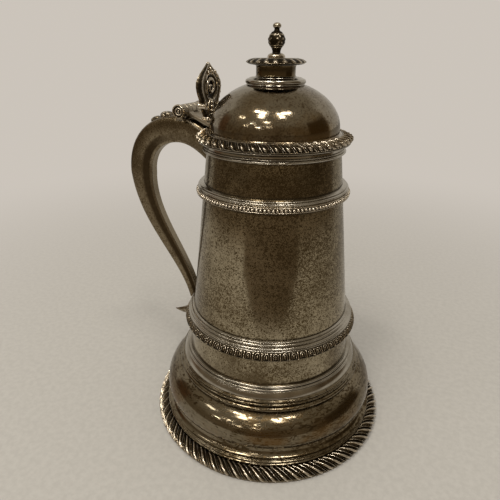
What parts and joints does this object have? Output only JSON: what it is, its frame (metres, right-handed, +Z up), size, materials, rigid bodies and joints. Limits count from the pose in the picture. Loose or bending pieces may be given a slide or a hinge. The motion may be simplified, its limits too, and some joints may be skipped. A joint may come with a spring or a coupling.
{
  "type": "lidded tankard",
  "caption": "Tapered silver drinking tankard on a spreading foot, with a scroll handle and a hinged domed lid that a thumbpiece lifts.",
  "frame": {"origin": "centre of the foot's resting ring, on the table", "axes": "+Z up along the axis of the barrel, handle and hinge towards -X"},
  "size_m": [0.1827, 0.1596, 0.2501],
  "materials": {
    "plain_silver": "tarnished silver sheet, semi-matt with brown specks",
    "border_silver": "tarnished silver borders, bright on the crests and dark in the cuts",
    "cast_silver": "cast silver, dark in the hollows",
    "hinge_silver": "worn silver",
    "inner_silver": "dull tarnished silver"
  },
  "bodies": {
    "tankard": {"body_barrel": "plain_silver", "body_floor": "inner_silver", "mouth_moulding": "border_silver", "upper_girdle": "border_silver", "upper_girdle_beads": "border_silver", "lower_girdle": "border_silver", "lower_girdle_border": "border_silver", "foot_collar": "border_silver", "foot_dome": "plain_silver", "foot_gadroon": "border_silver", "handle_shell": "plain_silver", "handle_strap": "inner_silver", "handle_tail": "cast_silver", "handle_drops": "cast_silver", "handle_hinge_plate": "hinge_silver", "hinge_pin": "hinge_silver", "hinge_caps": "hinge_silver"},
    "lid": {"lid_flange": "plain_silver", "lid_gadroon": "border_silver", "lid_bezel": "inner_silver", "lid_dome": "plain_silver", "lid_hinge_leaf": "hinge_silver", "thumbpiece": "cast_silver", "lantern_collar": "border_silver", "lantern_drum": "plain_silver", "gallery_plate": "plain_silver", "gallery_gadroon": "border_silver", "finial": "cast_silver", "finial_nut": "inner_silver"}
  },
  "joints": [
    {"name": "lid_hinge", "type": "hinge", "parent": "tankard", "child": "lid", "pos_m": [-0.0562, 0, 0.2032], "axis": [0, -1, 0], "range_deg": [0, 100]}
  ]
}
